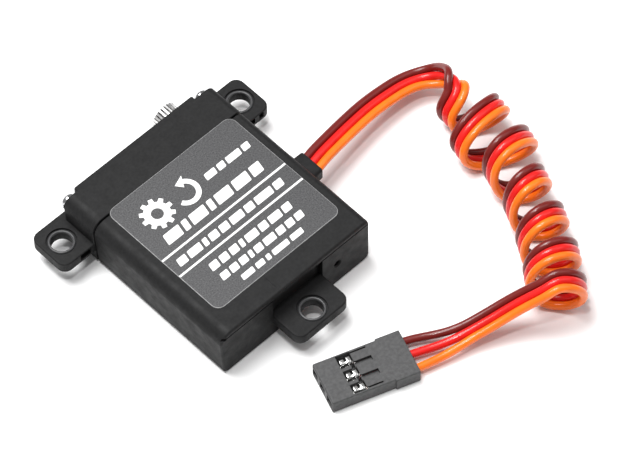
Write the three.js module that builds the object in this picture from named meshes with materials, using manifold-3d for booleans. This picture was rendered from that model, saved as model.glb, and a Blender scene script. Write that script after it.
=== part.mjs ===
// Thin wing servo: 10 mm thick case, five compound gears, coreless motor and a three-wire lead.
// Millimetres. +X is the side the lead leaves, +Y the output shaft's end, +Z the labelled face.
import * as THREE from 'three';
import { mergeVertices } from 'three/addons/utils/BufferGeometryUtils.js';
import Module from 'manifold-3d';

const wasm = await Module();
wasm.setup();

// ---------- driving dimensions ----------
const CASE = {
  left: -15.4, right: 15.2, thickness: 10, wall: 0.9,
  seam: 27.8, seamGap: 0.3, shoulder: 34.6, block: 35.3, roof: 33.0,
  blockLeft: -12.7, blockRight: 11.7,
  softEdge: 2.2, footEdge: 1.0, sharpEdge: 1.2, footInset: 0.4, endWall: 1.2,
  proud: 0.1, blockCorner: 0.3,
};
const MID = CASE.thickness / 2;
const GEAR_CASE_START = CASE.seam + CASE.seamGap;
const FIT = 0.05; // radial clearance between a round piece and its bore
const EAR = {
  low: 3, high: 5, hole: 1.7, grooveInner: 2.2, grooveOuter: 2.4, grooveDepth: 0.2,
  sideReach: 21.5, sideStart: GEAR_CASE_START, sideEnd: 35.85, sideHoleX: 18.45, sideHoleY: 32.0,
  endReach: -5.85, endX: 0.3, endHalfWidth: 5.25, endHoleY: -3.05, corner: 1.5,
  notchIn: 16.0, notchOut: 18.1, notchDepth: 0.8, notchLow: 3.6, notchHigh: 4.8,
};
const SCREW = {
  xs: [-14.1, 13.3], zs: [1.8, 8.2], shank: 0.65, point: 0.6, length: 11,
  head: 1.34, rim: 0.3, dome: 1.1, slotWidth: 0.24, slotReach: 0.72, slotFloor: 0.45,
  boss: 1.25, bossDepth: 7,
};
const END_POCKET = { halfWidth: 5.1, depth: 0.9 }; // in the -Y end, from the ear up to the groove
const LID_LINE = { depth: 0.2, low: 8.9, high: 9.15 }; // groove across the case's -Y end
const POT_HOLE = 0.6; // radius of the small hole behind the output shaft
const LABEL = { left: -12.3, right: 13.2, start: 3.9, end: 28.4, corner: 1.4, thickness: 0.12 };

// Gear train on one line through the middle of the case: every stage's pinion, wheel and distance.
const STAGES = [
  { pinion: 9, wheel: 36, distance: 4.5 },
  { pinion: 10, wheel: 28, distance: 4.6 },
  { pinion: 10, wheel: 26, distance: 4.6 },
  { pinion: 10, wheel: 24, distance: 4.6 },
  { pinion: 10, wheel: 22, distance: 4.6 },
  { pinion: 10, wheel: 24, distance: 4.7 },
];
const OUTPUT_X = 8.5;
const PIN_C = OUTPUT_X - STAGES[5].distance;
const PIN_B = PIN_C - STAGES[4].distance;
const PIN_A = PIN_B - STAGES[1].distance;
const MOTOR_X = PIN_A - STAGES[0].distance;
const PLATE = { start: 25.7, end: 26.9, edge: 0.2 };
const LAYER = { start: 27.05, pitch: 0.97, face: 0.8 };
const PIN = { radius: 0.4, start: 25.9, end: 33.6 };
const BACKLASH = 0.05;
const TOOTH = { addendum: 0.9, dedendum: 1.2, rootFlare: 0.55, pressureAngle: 20, leastTip: 0.03 };
const SPLINE = { teeth: 25, radius: 2.5, root: 2.28, start: 35.5, end: 38.3 };
const SHAFT = { tail: 0.7, step: 0.8, seat: 1.6, journal: 2.45, screwHole: 0.85, screwDepth: 5 };
const FRONT_BEARING = { outer: 4.0, inner: 2.5, start: 33.0, end: 35.0, lip: 3.3 };
const REAR_BEARING = { outer: 2.0, inner: 0.75, start: PLATE.start, end: PLATE.end };
const MOTOR = {
  radius: 3.9, start: 6.6, end: 25.4, shell: 0.35, shaft: 0.4, front: 0.6, nose: 1.3, noseLength: 0.4,
  bush: 0.75, windingOuter: 3.3, windingInner: 2.75, magnetOuter: 2.55, magnetInner: 0.7,
  capBore: 0.8, tabX: 2, tabHalfWidth: 0.6, tabHalfThickness: 0.2, tabReach: 1.6,
};
const POT = { radius: 3.7, start: 20.6, end: 25.2, shell: 0.4, mouth: 1.0, rotor: 2.9 };
const BOARD = { left: -5.4, right: 13.8, start: 2.2, end: 19.4, low: 2.2, high: 3.0, solder: 0.02 };
// What stands on the board: its span along X, its span along Y, and its height.
const CONTROL_CHIP = { x: [0.5, 4.5], y: [5.0, 9.0], height: 0.9 };
const DRIVER_CHIP = { x: [-3.6, 0.0], y: [12.0, 17.0], height: 1.3 };
const CAPACITOR = { x: [6.6, 9.8], y: [4.0, 7.5], height: 1.9 };
const RESONATOR = { x: [7.0, 10.2], y: [10.2, 11.6], height: 1.0 };
// Grommet sections, each half as wide (Y) and half as high (Z) as given, with its corner radius.
const GROMMET = {
  y: 15.4, z: 5.4, flange: 15.9, boot: 18.1, insideReach: 0.6,
  neck: [2.35, 1.55, 0.55], collar: [3.1, 2.4, 0.8], sleeve: [2.4, 1.35, 0.6],
};
const PLUG = { x: -0.15, y: -15.0, turn: THREE.MathUtils.degToRad(-20), length: 14.3, width: 7.65,
  rearWidth: 8.15, rearShare: 0.72, height: 2.55, corner: 0.25, pitch: 2.54, channel: 1.7,
  floor: 0.5, roof: 0.45, windowStart: 4.2, windowEnd: 7.2 };
const CONTACT = { setBack: 0.8, length: 6.6, halfWidth: 0.75, play: 0.1, pinHalf: 0.35, pinDepth: 4.6 };
const WIRE = { diameter: 1.35, count: 3, bevel: 0.35 };
const RIBBON = WIRE.diameter * WIRE.count;
const FLOOR_GAP = 0.05; // how far the curl stays above the surface that the servo lies on

// The lead's route, as its middle line: out of the grommet, the axis of the curl, and on to the plug.
const EXIT_ROUTE = [
  [18.5, 15.75, 5.65], [22.6, 16.3, 5.5], [27.3, 17.0, 5.0], [32.0, 17.5, 4.5],
  [36.3, 17.6, 3.9], [40.0, 17.2, 3.4], [43.0, 16.3, 2.9], [44.2, 15.6, 2.75],
];
const CURL_AXIS = [[43.2, 11.9], [43.3, -2.4], [35.3, -19.55], [28.05, -27.0]]; // a cubic Bezier curve
const CURL_RADIUS = 5;
const TAIL_ROUTE = [
  [23.0, -24.4, 6.2], [21.6, -23.7, 5.3], [18.5, -22.4, 3.7], [15.4, -21.2, 2.5],
  [12.5, -19.9, 1.75], [9.8, -18.7, 1.38], [7.0, -17.6, 1.35],
];

// The origin is below the middle of the servo's own box, ears and output shaft included.
const ORIGIN_Y = (EAR.endReach + SPLINE.end) / 2;

// ---------- materials ----------
const finish = (color, roughness, metalness = 0) =>
  new THREE.MeshStandardMaterial({ color, roughness, metalness });
const blackPlastic = finish(0x2c2c2e, 0.55);
const foil = finish(0x6a6a6c, 0.45);
const chrome = finish(0xd8d8da, 0.15, 1);
const steel = finish(0xa9abb0, 0.3, 1);
const brass = finish(0xc9a653, 0.3, 1);
const aluminium = finish(0xb9bbbf, 0.4, 1);
const copper = finish(0xb06a3c, 0.4, 1);
const rubber = finish(0x1b1b1d, 0.85);
const board = finish(0x1f5b38, 0.5);
const resin = finish(0x3a2c22, 0.6);
const ceramic = finish(0x8a6a48, 0.5);
const redWire = finish(0xe02a22, 0.4);
const contactMetal = finish(0xcfd0d2, 0.2, 1);

// ---------- geometry helpers ----------
function rounded(left, right, low, high, radii) {
  const [a, b, c, d] = Array.isArray(radii) ? radii : [radii, radii, radii, radii];
  const shape = new THREE.Shape();
  shape.moveTo(left + a, low);
  shape.lineTo(right - b, low);
  shape.absarc(right - b, low + b, b, -Math.PI / 2, 0);
  shape.lineTo(right, high - c);
  shape.absarc(right - c, high - c, c, 0, Math.PI / 2);
  shape.lineTo(left + d, high);
  shape.absarc(left + d, high - d, d, Math.PI / 2, Math.PI);
  shape.lineTo(left, low + a);
  shape.absarc(left + a, low + a, a, Math.PI, Math.PI * 1.5);
  return shape;
}

function circlePath(x, y, radius) {
  const path = new THREE.Path();
  path.absarc(x, y, radius, 0, Math.PI * 2, true);
  return path;
}

function alongZ(shape, low, high, segments = 4) {
  const geometry = new THREE.ExtrudeGeometry(shape,
    { depth: high - low, bevelEnabled: false, curveSegments: segments });
  return geometry.translate(0, 0, low);
}

// The shape's own x and y become X and Z, and it is drawn out along Y.
function alongY(shape, start, end, segments = 4) {
  return alongZ(shape, -end, -start, segments).rotateX(Math.PI / 2);
}

// The shape's own x and y become Y and Z, and it is drawn out along X.
function alongX(shape, start, end, segments = 4) {
  const turn = new THREE.Matrix4().makeBasis(
    new THREE.Vector3(0, 1, 0), new THREE.Vector3(0, 0, 1), new THREE.Vector3(1, 0, 0));
  return alongZ(shape, start, end, segments).applyMatrix4(turn);
}

function box(x0, x1, y0, y1, z0, z1) {
  const geometry = new THREE.BoxGeometry(x1 - x0, y1 - y0, z1 - z0);
  return geometry.translate((x0 + x1) / 2, (y0 + y1) / 2, (z0 + z1) / 2);
}

// A turned piece about the line through (x, z) parallel to Y; profile points are [radius, y].
function turned(profile, x, z = MID, segments = 24) {
  const points = profile.map(([radius, y]) => new THREE.Vector2(radius, y));
  return new THREE.LatheGeometry(points, segments).translate(x, 0, z);
}

function ring(inner, outer, start, end, x, z = MID, segments = 24) {
  return turned([[inner, start], [outer, start], [outer, end], [inner, end], [inner, start]],
    x, z, segments);
}

function rod(radius, start, end, x, z = MID, segments = 16) {
  return turned([[0, start], [radius, start], [radius, end], [0, end]], x, z, segments);
}

function solid(geometry) {
  const bare = geometry.clone();
  bare.deleteAttribute('normal');
  bare.deleteAttribute('uv');
  const merged = mergeVertices(bare, 1e-5);
  return new wasm.Manifold(new wasm.Mesh({
    numProp: 3,
    vertProperties: new Float32Array(merged.attributes.position.array),
    triVerts: new Uint32Array(merged.index.array),
  }));
}

function surface(manifold) {
  const mesh = manifold.getMesh();
  const geometry = new THREE.BufferGeometry();
  geometry.setAttribute('position', new THREE.BufferAttribute(mesh.vertProperties, 3));
  geometry.setIndex(new THREE.BufferAttribute(mesh.triVerts, 1));
  geometry.computeVertexNormals();
  return geometry;
}

const join = (...parts) => parts.map(solid).reduce((sum, part) => sum.add(part));
const carve = (manifold, ...tools) => tools.map(solid).reduce((rest, tool) => rest.subtract(tool), manifold);

// ---------- the assembly ----------
const servo = new THREE.Group();
servo.position.y = -ORIGIN_Y;

function add(name, geometry, material, parent = servo) {
  const mesh = new THREE.Mesh(geometry, material);
  mesh.name = name;
  parent.add(mesh);
  return mesh;
}

// Outline of the case across Y: a soft edge along the motor's side and a slightly drawn-in foot.
// The gear case stands proud of the main case by grow on either side.
function caseOutline(grow = 0) {
  const left = CASE.left - grow;
  const right = CASE.right + grow;
  const top = CASE.thickness;
  const { softEdge, footEdge, sharpEdge, footInset } = CASE;
  const shape = new THREE.Shape();
  shape.moveTo(left + footInset + footEdge, 0);
  shape.lineTo(right - footEdge, 0);
  shape.absarc(right - footEdge, footEdge, footEdge, -Math.PI / 2, 0);
  shape.lineTo(right, top - sharpEdge);
  shape.absarc(right - sharpEdge, top - sharpEdge, sharpEdge, 0, Math.PI / 2);
  shape.lineTo(left + softEdge, top);
  shape.absarc(left + softEdge, top - softEdge, softEdge, Math.PI / 2, Math.PI);
  shape.lineTo(left + footInset, footEdge);
  shape.absarc(left + footInset + footEdge, footEdge, footEdge, Math.PI, Math.PI * 1.5);
  return shape;
}

const screwPlaces = SCREW.xs.flatMap((x) => SCREW.zs.map((z) => [x, z]));

// The hollow of the case, which leaves the four screw bosses standing in its corners.
function hollow(start, end, bossStart) {
  const { left, right, wall, thickness } = CASE;
  const room = box(left + wall + FIT, right - wall, start, end, wall, thickness - wall);
  const bosses = screwPlaces.map(([x, z]) => rod(SCREW.boss, bossStart, end + 1, x, z));
  return carve(solid(room), ...bosses);
}

const screwHoles = (start, end) =>
  screwPlaces.map(([x, z]) => rod(SCREW.shank + FIT, start, end, x, z, 12));
// Room for the screw heads, which bites a little out of the side ears.
const headRoom = (start, end) =>
  screwPlaces.map(([x, z]) => rod(SCREW.head + FIT, start, end, x, z, 24));

// The screw hole through an ear and the groove round it in the ear's top.
function earHole(x, y) {
  const { low, high, hole, grooveInner, grooveOuter, grooveDepth } = EAR;
  const round = (radius) => new THREE.Shape().absarc(x, y, radius, 0, Math.PI * 2);
  const groove = round(grooveOuter);
  groove.holes.push(circlePath(x, y, grooveInner));
  return [alongZ(round(hole), low - 1, high + 1, 24), alongZ(groove, high - grooveDepth, high + 1, 24)];
}

function makeMainCase() {
  const { left, right, seam, endWall, wall } = CASE;
  const { endX, endHalfWidth, endReach, corner } = EAR;
  const ear = rounded(endX - endHalfWidth, endX + endHalfWidth, endReach, 1, [corner, corner, 0, 0]);
  const shell = join(alongY(caseOutline(), 0, seam), alongZ(ear, EAR.low, EAR.high));
  const leadSlot = grommetSection(GROMMET.neck, right - wall - 1, right + 1, FIT);
  const potHole = rod(POT_HOLE, -1, endWall + 1, OUTPUT_X, MID, 12);
  const lidLine = box(left - 1, right + 1, -1, LID_LINE.depth, LID_LINE.low, LID_LINE.high);
  const { halfWidth, depth } = END_POCKET;
  const pocket = box(endX - halfWidth, endX + halfWidth, -1, depth, EAR.high, LID_LINE.low + 0.1);
  const opened = shell.subtract(hollow(endWall, seam + 1, seam - SCREW.bossDepth));
  const cut = carve(opened, leadSlot, potHole, lidLine, pocket, ...earHole(endX, EAR.endHoleY),
    ...screwHoles(seam - SCREW.bossDepth + 1, seam + 1));
  return surface(cut);
}

function makeGearCase() {
  const { shoulder, block, blockLeft, blockRight, roof, seam } = CASE;
  const start = GEAR_CASE_START;
  const raised = rounded(blockLeft, blockRight, 0, CASE.thickness, CASE.blockCorner);
  const parts = [
    alongY(caseOutline(CASE.proud), start, shoulder),
    alongY(raised, start + 1, block, 2),
  ];
  const cuts = [];
  for (const side of [-1, 1]) {
    const inner = side * (CASE.right - 1);
    const outer = side * EAR.sideReach;
    const radii = side < 0 ? [EAR.corner, 0, 0, EAR.corner] : [0, EAR.corner, EAR.corner, 0];
    const ear = rounded(Math.min(inner, outer), Math.max(inner, outer), EAR.sideStart, EAR.sideEnd, radii);
    parts.push(alongZ(ear, EAR.low, EAR.high));
    cuts.push(...earHole(side * EAR.sideHoleX, EAR.sideHoleY));
    const notch = [side * EAR.notchIn, side * EAR.notchOut].sort((a, b) => a - b);
    cuts.push(box(...notch, start - 1, start + EAR.notchDepth, EAR.notchLow, EAR.notchHigh));
  }
  const { outer, start: seat, end: stop, lip } = FRONT_BEARING;
  cuts.push(rod(outer, seat - 1, stop, OUTPUT_X, MID, 32));
  cuts.push(rod(lip, seat, block + 1, OUTPUT_X, MID, 32));
  for (const x of [PIN_A, PIN_B, PIN_C]) {
    cuts.push(rod(PIN.radius + FIT, roof - 1, PIN.end + 0.1, x, MID, 12));
  }
  const opened = join(...parts).subtract(hollow(seam - 1, roof, seam - 2));
  cuts.push(...screwHoles(seam, block + 1), ...headRoom(shoulder, EAR.sideEnd + 1));
  return surface(carve(opened, ...cuts));
}

function makeLabel() {
  const { left, right, start, end, corner, thickness } = LABEL;
  const outline = rounded(left, right, start, end, corner);
  return alongZ(outline, CASE.thickness, CASE.thickness + thickness);
}

function makeScrew(x, z) {
  const { shank, point, head, rim, dome, length, slotWidth, slotReach, slotFloor } = SCREW;
  const seat = CASE.shoulder + 0.02;
  const profile = [[0, seat - length], [shank, seat - length + point], [shank, seat], [head, seat]];
  const steps = 4;
  for (let i = 1; i <= steps; i += 1) {
    const angle = (i / steps) * (Math.PI / 2);
    profile.push([i === steps ? 0 : head * Math.cos(angle), seat + rim + (dome - rim) * Math.sin(angle)]);
  }
  const slot = (reachX, reachZ) =>
    box(x - reachX, x + reachX, seat + slotFloor, seat + dome + 1, z - reachZ, z + reachZ);
  return surface(carve(solid(turned(profile, x, z, 16)),
    slot(slotReach, slotWidth / 2), slot(slotWidth / 2, slotReach)));
}

function grommetSection([halfY, halfZ, corner], start, end, grow = 0) {
  const { y, z } = GROMMET;
  const wide = halfY + grow;
  const high = halfZ + grow;
  return alongX(rounded(y - wide, y + wide, z - high, z + high, corner + grow), start, end, 3);
}

function makeGrommet() {
  const { neck, collar, sleeve, flange, boot, insideReach } = GROMMET;
  return surface(join(
    grommetSection(neck, CASE.right - CASE.wall - insideReach, flange),
    grommetSection(collar, CASE.right + 0.02, flange),
    grommetSection(sleeve, flange - 0.2, boot)));
}

// ---------- gears ----------
// Tooth outline as straight-flanked teeth, thinned by the backlash; phase 0 puts a tooth on +X.
function gearShape(teeth, module, phase, bore) {
  const { addendum, dedendum, rootFlare, pressureAngle, leastTip } = TOOTH;
  const pitchRadius = module * teeth / 2;
  const tip = pitchRadius + addendum * module;
  const root = pitchRadius - dedendum * module;
  const pitchHalf = Math.PI * pitchRadius / (2 * teeth) - BACKLASH / 2;
  const lean = Math.tan(THREE.MathUtils.degToRad(pressureAngle)) * module;
  const tipHalf = Math.max(pitchHalf - addendum * lean, leastTip) / tip;
  const rootHalf = (pitchHalf + rootFlare * lean) / root;
  const outline = new THREE.Shape();
  for (let i = 0; i < teeth; i += 1) {
    const centre = phase + (i / teeth) * Math.PI * 2;
    for (const [radius, angle] of [[root, -rootHalf], [tip, -tipHalf], [tip, tipHalf], [root, rootHalf]]) {
      const x = radius * Math.cos(centre + angle);
      const y = radius * Math.sin(centre + angle);
      if (i === 0 && angle === -rootHalf) outline.moveTo(x, y);
      else outline.lineTo(x, y);
    }
  }
  outline.holes.push(circlePath(0, 0, bore));
  return outline;
}

const stageModule = ({ pinion, wheel, distance }) => (2 * distance) / (pinion + wheel);
const layerStart = (layer) => LAYER.start + layer * LAYER.pitch;
const layerEnd = (layer) => layerStart(layer) + LAYER.face;

function pinionAt(stage, x, start, bore) {
  const { pinion } = STAGES[stage];
  const shape = gearShape(pinion, stageModule(STAGES[stage]), 0, bore);
  return alongY(shape, start, layerEnd(stage), 6).translate(x, 0, MID);
}

function wheelAt(stage, x, bore) {
  const { wheel } = STAGES[stage];
  const shape = gearShape(wheel, stageModule(STAGES[stage]), Math.PI / wheel, bore);
  return alongY(shape, layerStart(stage), layerEnd(stage), 6).translate(x, 0, MID);
}

// Wheel of one stage and pinion of the next, in one piece, running on an axle pin.
function makeCompoundGear(stage, x) {
  const bore = PIN.radius + FIT;
  const overlap = layerEnd(stage) - 0.1;
  return surface(join(wheelAt(stage, x, bore), pinionAt(stage + 1, x, overlap, bore)));
}

function makeGearPlate() {
  const { start, end, edge } = PLATE;
  const { left, right, wall, thickness } = CASE;
  const inset = wall + edge;
  const blank = box(left + inset + FIT, right - inset, start, end, inset, thickness - inset);
  const cuts = [PIN_A, PIN_B, PIN_C].map((x) => rod(PIN.radius + FIT, start - 1, end + 1, x, MID, 12));
  cuts.push(rod(MOTOR.nose + 2 * FIT, start - 1, end + 1, MOTOR_X));
  cuts.push(rod(REAR_BEARING.outer + FIT, start - 1, end + 1, OUTPUT_X));
  cuts.push(...screwPlaces.map(([x, z]) => rod(SCREW.boss + edge, start - 1, end + 1, x, z)));
  return surface(carve(solid(blank), ...cuts));
}

// ---------- output shaft, its bearings and the feedback potentiometer ----------
function splineShape() {
  const { teeth, radius, root } = SPLINE;
  const outline = new THREE.Shape();
  const step = (Math.PI * 2) / teeth;
  for (let i = 0; i < teeth; i += 1) {
    for (const [r, share] of [[root, -0.5], [root, -0.32], [radius, -0.12], [radius, 0.12], [root, 0.32]]) {
      const angle = (i + share) * step;
      const method = i === 0 && share === -0.5 ? 'moveTo' : 'lineTo';
      outline[method](r * Math.cos(angle), r * Math.sin(angle));
    }
  }
  return outline;
}

function makeOutputShaft() {
  const gearTop = layerEnd(5);
  const { tail, step, seat, journal, screwHole, screwDepth } = SHAFT;
  const tailEnd = POT.start + 1.2;
  const profile = [
    [0, tailEnd], [tail, tailEnd], [tail, PLATE.end], [step, PLATE.end],
    [step, layerStart(5)], [seat, layerStart(5)], [seat, gearTop], [journal, gearTop + 0.1],
    [journal, SPLINE.start], [0, SPLINE.start],
  ];
  const teeth = alongY(splineShape(), SPLINE.start - 0.2, SPLINE.end).translate(OUTPUT_X, 0, MID);
  const hornScrewHole = rod(screwHole, SPLINE.end - screwDepth, SPLINE.end + 1, OUTPUT_X);
  return surface(carve(join(turned(profile, OUTPUT_X), teeth), hornScrewHole));
}

function makeOutputGear() {
  return wheelAt(5, OUTPUT_X, SHAFT.seat + FIT);
}

// A shielded ball bearing, as its two rings: the outer one carries the shields.
function addBearing(name, { outer, inner, start, end }, x) {
  const race = 0.3 * (outer - inner);
  const shieldEdge = inner + race + FIT;
  const shield = 0.2;
  const profile = [
    [shieldEdge, start], [outer - FIT, start], [outer - FIT, end], [shieldEdge, end],
    [shieldEdge, end - shield], [outer - race, end - shield], [outer - race, start + shield],
    [shieldEdge, start + shield], [shieldEdge, start],
  ];
  add(`${name}_outer_ring`, turned(profile, x), steel);
  add(`${name}_inner_ring`, ring(inner, inner + race, start, end, x), steel);
}

function makePotBody() {
  const { radius, start, end, shell, mouth } = POT;
  return turned([[radius - shell, start], [radius, start], [radius, end], [mouth, end],
    [mouth, end - shell], [radius - shell, end - shell], [radius - shell, start]], OUTPUT_X);
}

function makePotTrack() {
  const { radius, shell, start, mouth } = POT;
  return ring(mouth, radius - shell - FIT, start + 0.2, start + 0.9, OUTPUT_X);
}

// The wiper's carrier, pressed on the shaft's tail.
function makePotRotor() {
  return ring(SHAFT.tail + FIT, POT.rotor, POT.start + 1.3, POT.start + 2.3, OUTPUT_X);
}

// ---------- motor ----------
function makeMotorCan() {
  const { radius, start, end, shell, front, nose, noseLength, bush } = MOTOR;
  const inside = radius - shell;
  const bore = bush + FIT;
  const tip = end + noseLength;
  return turned([[inside, start], [radius, start], [radius, end], [nose, end], [nose, tip],
    [bore, tip], [bore, end - front], [inside, end - front], [inside, start]], MOTOR_X);
}

function makeWinding() {
  const { start, end, shaft, windingOuter: outer, windingInner: inner } = MOTOR;
  const low = start + 1.4;
  const high = end - 2.2;
  const floor = low + 0.8;
  const bore = shaft + FIT;
  return turned([[bore, low], [outer, low], [outer, high], [inner, high],
    [inner, floor], [bore, floor], [bore, low]], MOTOR_X);
}

function makeEndCap() {
  const { radius, shell, start, capBore, tabX, tabHalfWidth, tabHalfThickness, tabReach } = MOTOR;
  const cap = ring(capBore, radius - shell - FIT, start - 0.6, start + 0.8, MOTOR_X);
  const tabs = [-1, 1].map((side) => {
    const x = MOTOR_X + side * tabX;
    return box(x - tabHalfWidth, x + tabHalfWidth, start - tabReach, start,
      MID - tabHalfThickness, MID + tabHalfThickness);
  });
  return surface(join(cap, ...tabs));
}

function addMotor() {
  const { start, end, shaft, front, noseLength, bush, magnetOuter, magnetInner } = MOTOR;
  add('motor_can', makeMotorCan(), aluminium);
  add('motor_end_cap', makeEndCap(), blackPlastic);
  add('motor_magnet', ring(magnetInner, magnetOuter, start + 2.6, end - front - FIT, MOTOR_X), steel);
  add('motor_bush', ring(shaft + FIT, bush, end - front, end + noseLength, MOTOR_X), brass);
  add('motor_winding', makeWinding(), copper);
  add('motor_shaft', rod(shaft, start + 0.2, layerEnd(0), MOTOR_X), steel);
  add('motor_pinion', pinionAt(0, MOTOR_X, layerStart(0) - 0.1, shaft + FIT), brass);
}

// ---------- electronics ----------
function onBoard({ x, y, height }) {
  return box(...x, ...y, BOARD.high + BOARD.solder, BOARD.high + height);
}

function addElectronics() {
  const { left, right, start, end, low, high } = BOARD;
  add('circuit_board', box(left, right, start, end, low, high), board);
  add('control_chip', onBoard(CONTROL_CHIP), blackPlastic);
  add('driver_chip', onBoard(DRIVER_CHIP), blackPlastic);
  add('capacitor', onBoard(CAPACITOR), ceramic);
  add('resonator', onBoard(RESONATOR), aluminium);
}

// ---------- lead ----------
function ribbonSection() {
  const side = WIRE.diameter / 2;
  const half = RIBBON / 2;
  const cut = WIRE.bevel;
  const shape = new THREE.Shape();
  // The extruded section's own x stands upright and its y lies across the ribbon.
  shape.moveTo(-side, -half + cut);
  shape.lineTo(-side + cut, -half);
  shape.lineTo(side - cut, -half);
  shape.lineTo(side, -half + cut);
  shape.lineTo(side, half - cut);
  shape.lineTo(side - cut, half);
  shape.lineTo(-side + cut, half);
  shape.lineTo(-side, half - cut);
  return shape;
}

const curveThrough = (points) => new THREE.CatmullRomCurve3(points.map((p) => new THREE.Vector3(...p)));

// A flat ribbon along a route: the section is swept by hand so that it stays level across.
function ribbonAlong(points, steps) {
  const curve = curveThrough(points);
  const section = ribbonSection().getPoints();
  const up = new THREE.Vector3(0, 0, 1);
  const positions = [];
  const index = [];
  for (let i = 0; i <= steps; i += 1) {
    const place = curve.getPointAt(i / steps);
    const across = new THREE.Vector3().crossVectors(up, curve.getTangentAt(i / steps)).normalize();
    for (const { x, y } of section) {
      positions.push(place.x + across.x * y, place.y + across.y * y, place.z + x);
    }
  }
  const sides = section.length;
  for (let i = 0; i < steps; i += 1) {
    for (let j = 0; j < sides; j += 1) {
      const a = i * sides + j;
      const b = i * sides + (j + 1) % sides;
      index.push(a, a + sides, b, b, a + sides, b + sides);
    }
  }
  const last = steps * sides;
  for (let j = 1; j < sides - 1; j += 1) {
    index.push(0, j, j + 1);
    index.push(last, last + j + 1, last + j);
  }
  const geometry = new THREE.BufferGeometry();
  geometry.setAttribute('position', new THREE.Float32BufferAttribute(positions, 3));
  geometry.setIndex(index);
  return geometry;
}

function makeCurl() {
  const points = CURL_AXIS.map(([x, y]) => new THREE.Vector3(x, y, CURL_RADIUS + FLOOR_GAP));
  const path = new THREE.CubicBezierCurve3(...points);
  const section = new THREE.Shape();
  section.absarc(0, 0, CURL_RADIUS, 0, Math.PI * 2);
  return new THREE.ExtrudeGeometry(section, { steps: 12, extrudePath: path, curveSegments: 6 });
}

// ---------- plug ----------
// Drawn lying along its own x, front at -x, then turned as it lies beside the servo.
const PLUG_SLOTS = [-1, 0, 1];

function makePlugHousing() {
  const { length, width, rearWidth, rearShare, height, corner, pitch, channel, floor, roof } = PLUG;
  const front = -length / 2;
  const rearStart = front + rearShare * length;
  const body = (wide, start, end) => alongX(rounded(-wide / 2, wide / 2, 0, height, corner), start, end, 2);
  const cuts = PLUG_SLOTS.flatMap((slot) => {
    const y = slot * pitch;
    const half = channel / 2;
    const window = half - FIT;
    return [
      box(front - 1, front + length + 1, y - half, y + half, floor, height - roof),
      box(front + PLUG.windowStart, front + PLUG.windowEnd, y - window, y + window,
        height - roof - 0.1, height + 1),
    ];
  });
  const blank = join(body(width, front, rearStart + 0.2), body(rearWidth, rearStart, front + length));
  return surface(carve(blank, ...cuts));
}

function makeContact(slot) {
  const { length, pitch, floor, height, roof } = PLUG;
  const { setBack, halfWidth: half, play, pinHalf, pinDepth } = CONTACT;
  const front = -length / 2 + setBack;
  const y = slot * pitch;
  const z = height / 2;
  const tube = box(front, front + CONTACT.length, y - half, y + half, floor + play, height - roof - play);
  const pinHole = box(front - 1, front + pinDepth, y - pinHalf, y + pinHalf, z - pinHalf, z + pinHalf);
  return surface(carve(solid(tube), pinHole));
}

function addPlug() {
  const plug = new THREE.Group();
  plug.position.set(PLUG.x, PLUG.y, 0.02);
  plug.rotation.z = PLUG.turn;
  servo.add(plug);
  add('connector_housing', makePlugHousing(), blackPlastic, plug);
  PLUG_SLOTS.forEach((slot, i) => add(`contact_${i + 1}`, makeContact(slot), contactMetal, plug));
}

// ---------- building the assembly ----------
add('main_case', makeMainCase(), blackPlastic);
add('gear_case', makeGearCase(), blackPlastic);
add('label_sticker', makeLabel(), foil);
screwPlaces.forEach(([x, z], i) => add(`case_screw_${i + 1}`, makeScrew(x, z), chrome));
add('cable_grommet', makeGrommet(), rubber);
add('gear_plate', makeGearPlate(), aluminium);
[PIN_A, PIN_B, PIN_C].forEach((x, i) =>
  add(`axle_pin_${i + 1}`, rod(PIN.radius, PIN.start, PIN.end, x, MID, 12), steel));

const gearPlaces = [PIN_A, PIN_B, PIN_C, PIN_B, PIN_C];
gearPlaces.forEach((x, i) => add(`compound_gear_${i + 1}`, makeCompoundGear(i, x), brass));

add('output_shaft', makeOutputShaft(), steel);
add('output_gear', makeOutputGear(), steel);
addBearing('front_bearing', FRONT_BEARING, OUTPUT_X);
addBearing('rear_bearing', REAR_BEARING, OUTPUT_X);
add('pot_body', makePotBody(), aluminium);
add('pot_track', makePotTrack(), resin);
add('pot_rotor', makePotRotor(), blackPlastic);

addMotor();
addElectronics();

add('lead_exit', ribbonAlong(EXIT_ROUTE, 10), redWire);
add('lead_curl', makeCurl(), redWire);
add('lead_tail', ribbonAlong(TAIL_ROUTE, 8), redWire);
addPlug();

export default servo;
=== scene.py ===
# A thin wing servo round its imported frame: moulded case, printed label, screws, splined shaft,
# three-way plug and a curled three-wire lead.
# Sizes are in millimetres, drawn like the frame with Y counted from the case's end face, and
# placed() turns them into the frame's metres.
import math

import bmesh
import bpy
from mathutils import Matrix, Vector


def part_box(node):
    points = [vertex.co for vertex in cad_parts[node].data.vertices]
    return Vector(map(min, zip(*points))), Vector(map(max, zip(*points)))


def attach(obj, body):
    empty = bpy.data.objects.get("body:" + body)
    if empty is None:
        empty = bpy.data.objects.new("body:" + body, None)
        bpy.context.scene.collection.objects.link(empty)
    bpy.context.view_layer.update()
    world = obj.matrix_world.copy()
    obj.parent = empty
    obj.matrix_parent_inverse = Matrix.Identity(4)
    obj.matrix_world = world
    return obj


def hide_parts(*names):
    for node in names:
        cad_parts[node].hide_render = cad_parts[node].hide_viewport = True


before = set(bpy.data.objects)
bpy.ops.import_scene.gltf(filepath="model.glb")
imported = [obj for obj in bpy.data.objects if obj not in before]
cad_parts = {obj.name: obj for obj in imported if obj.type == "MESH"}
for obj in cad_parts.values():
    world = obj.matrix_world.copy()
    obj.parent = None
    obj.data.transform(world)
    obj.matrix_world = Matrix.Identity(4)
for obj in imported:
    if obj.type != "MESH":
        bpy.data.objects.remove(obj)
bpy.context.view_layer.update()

MM = 0.001
QUARTER = math.pi / 2
UP = Vector((0, 0, 1))

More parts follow.
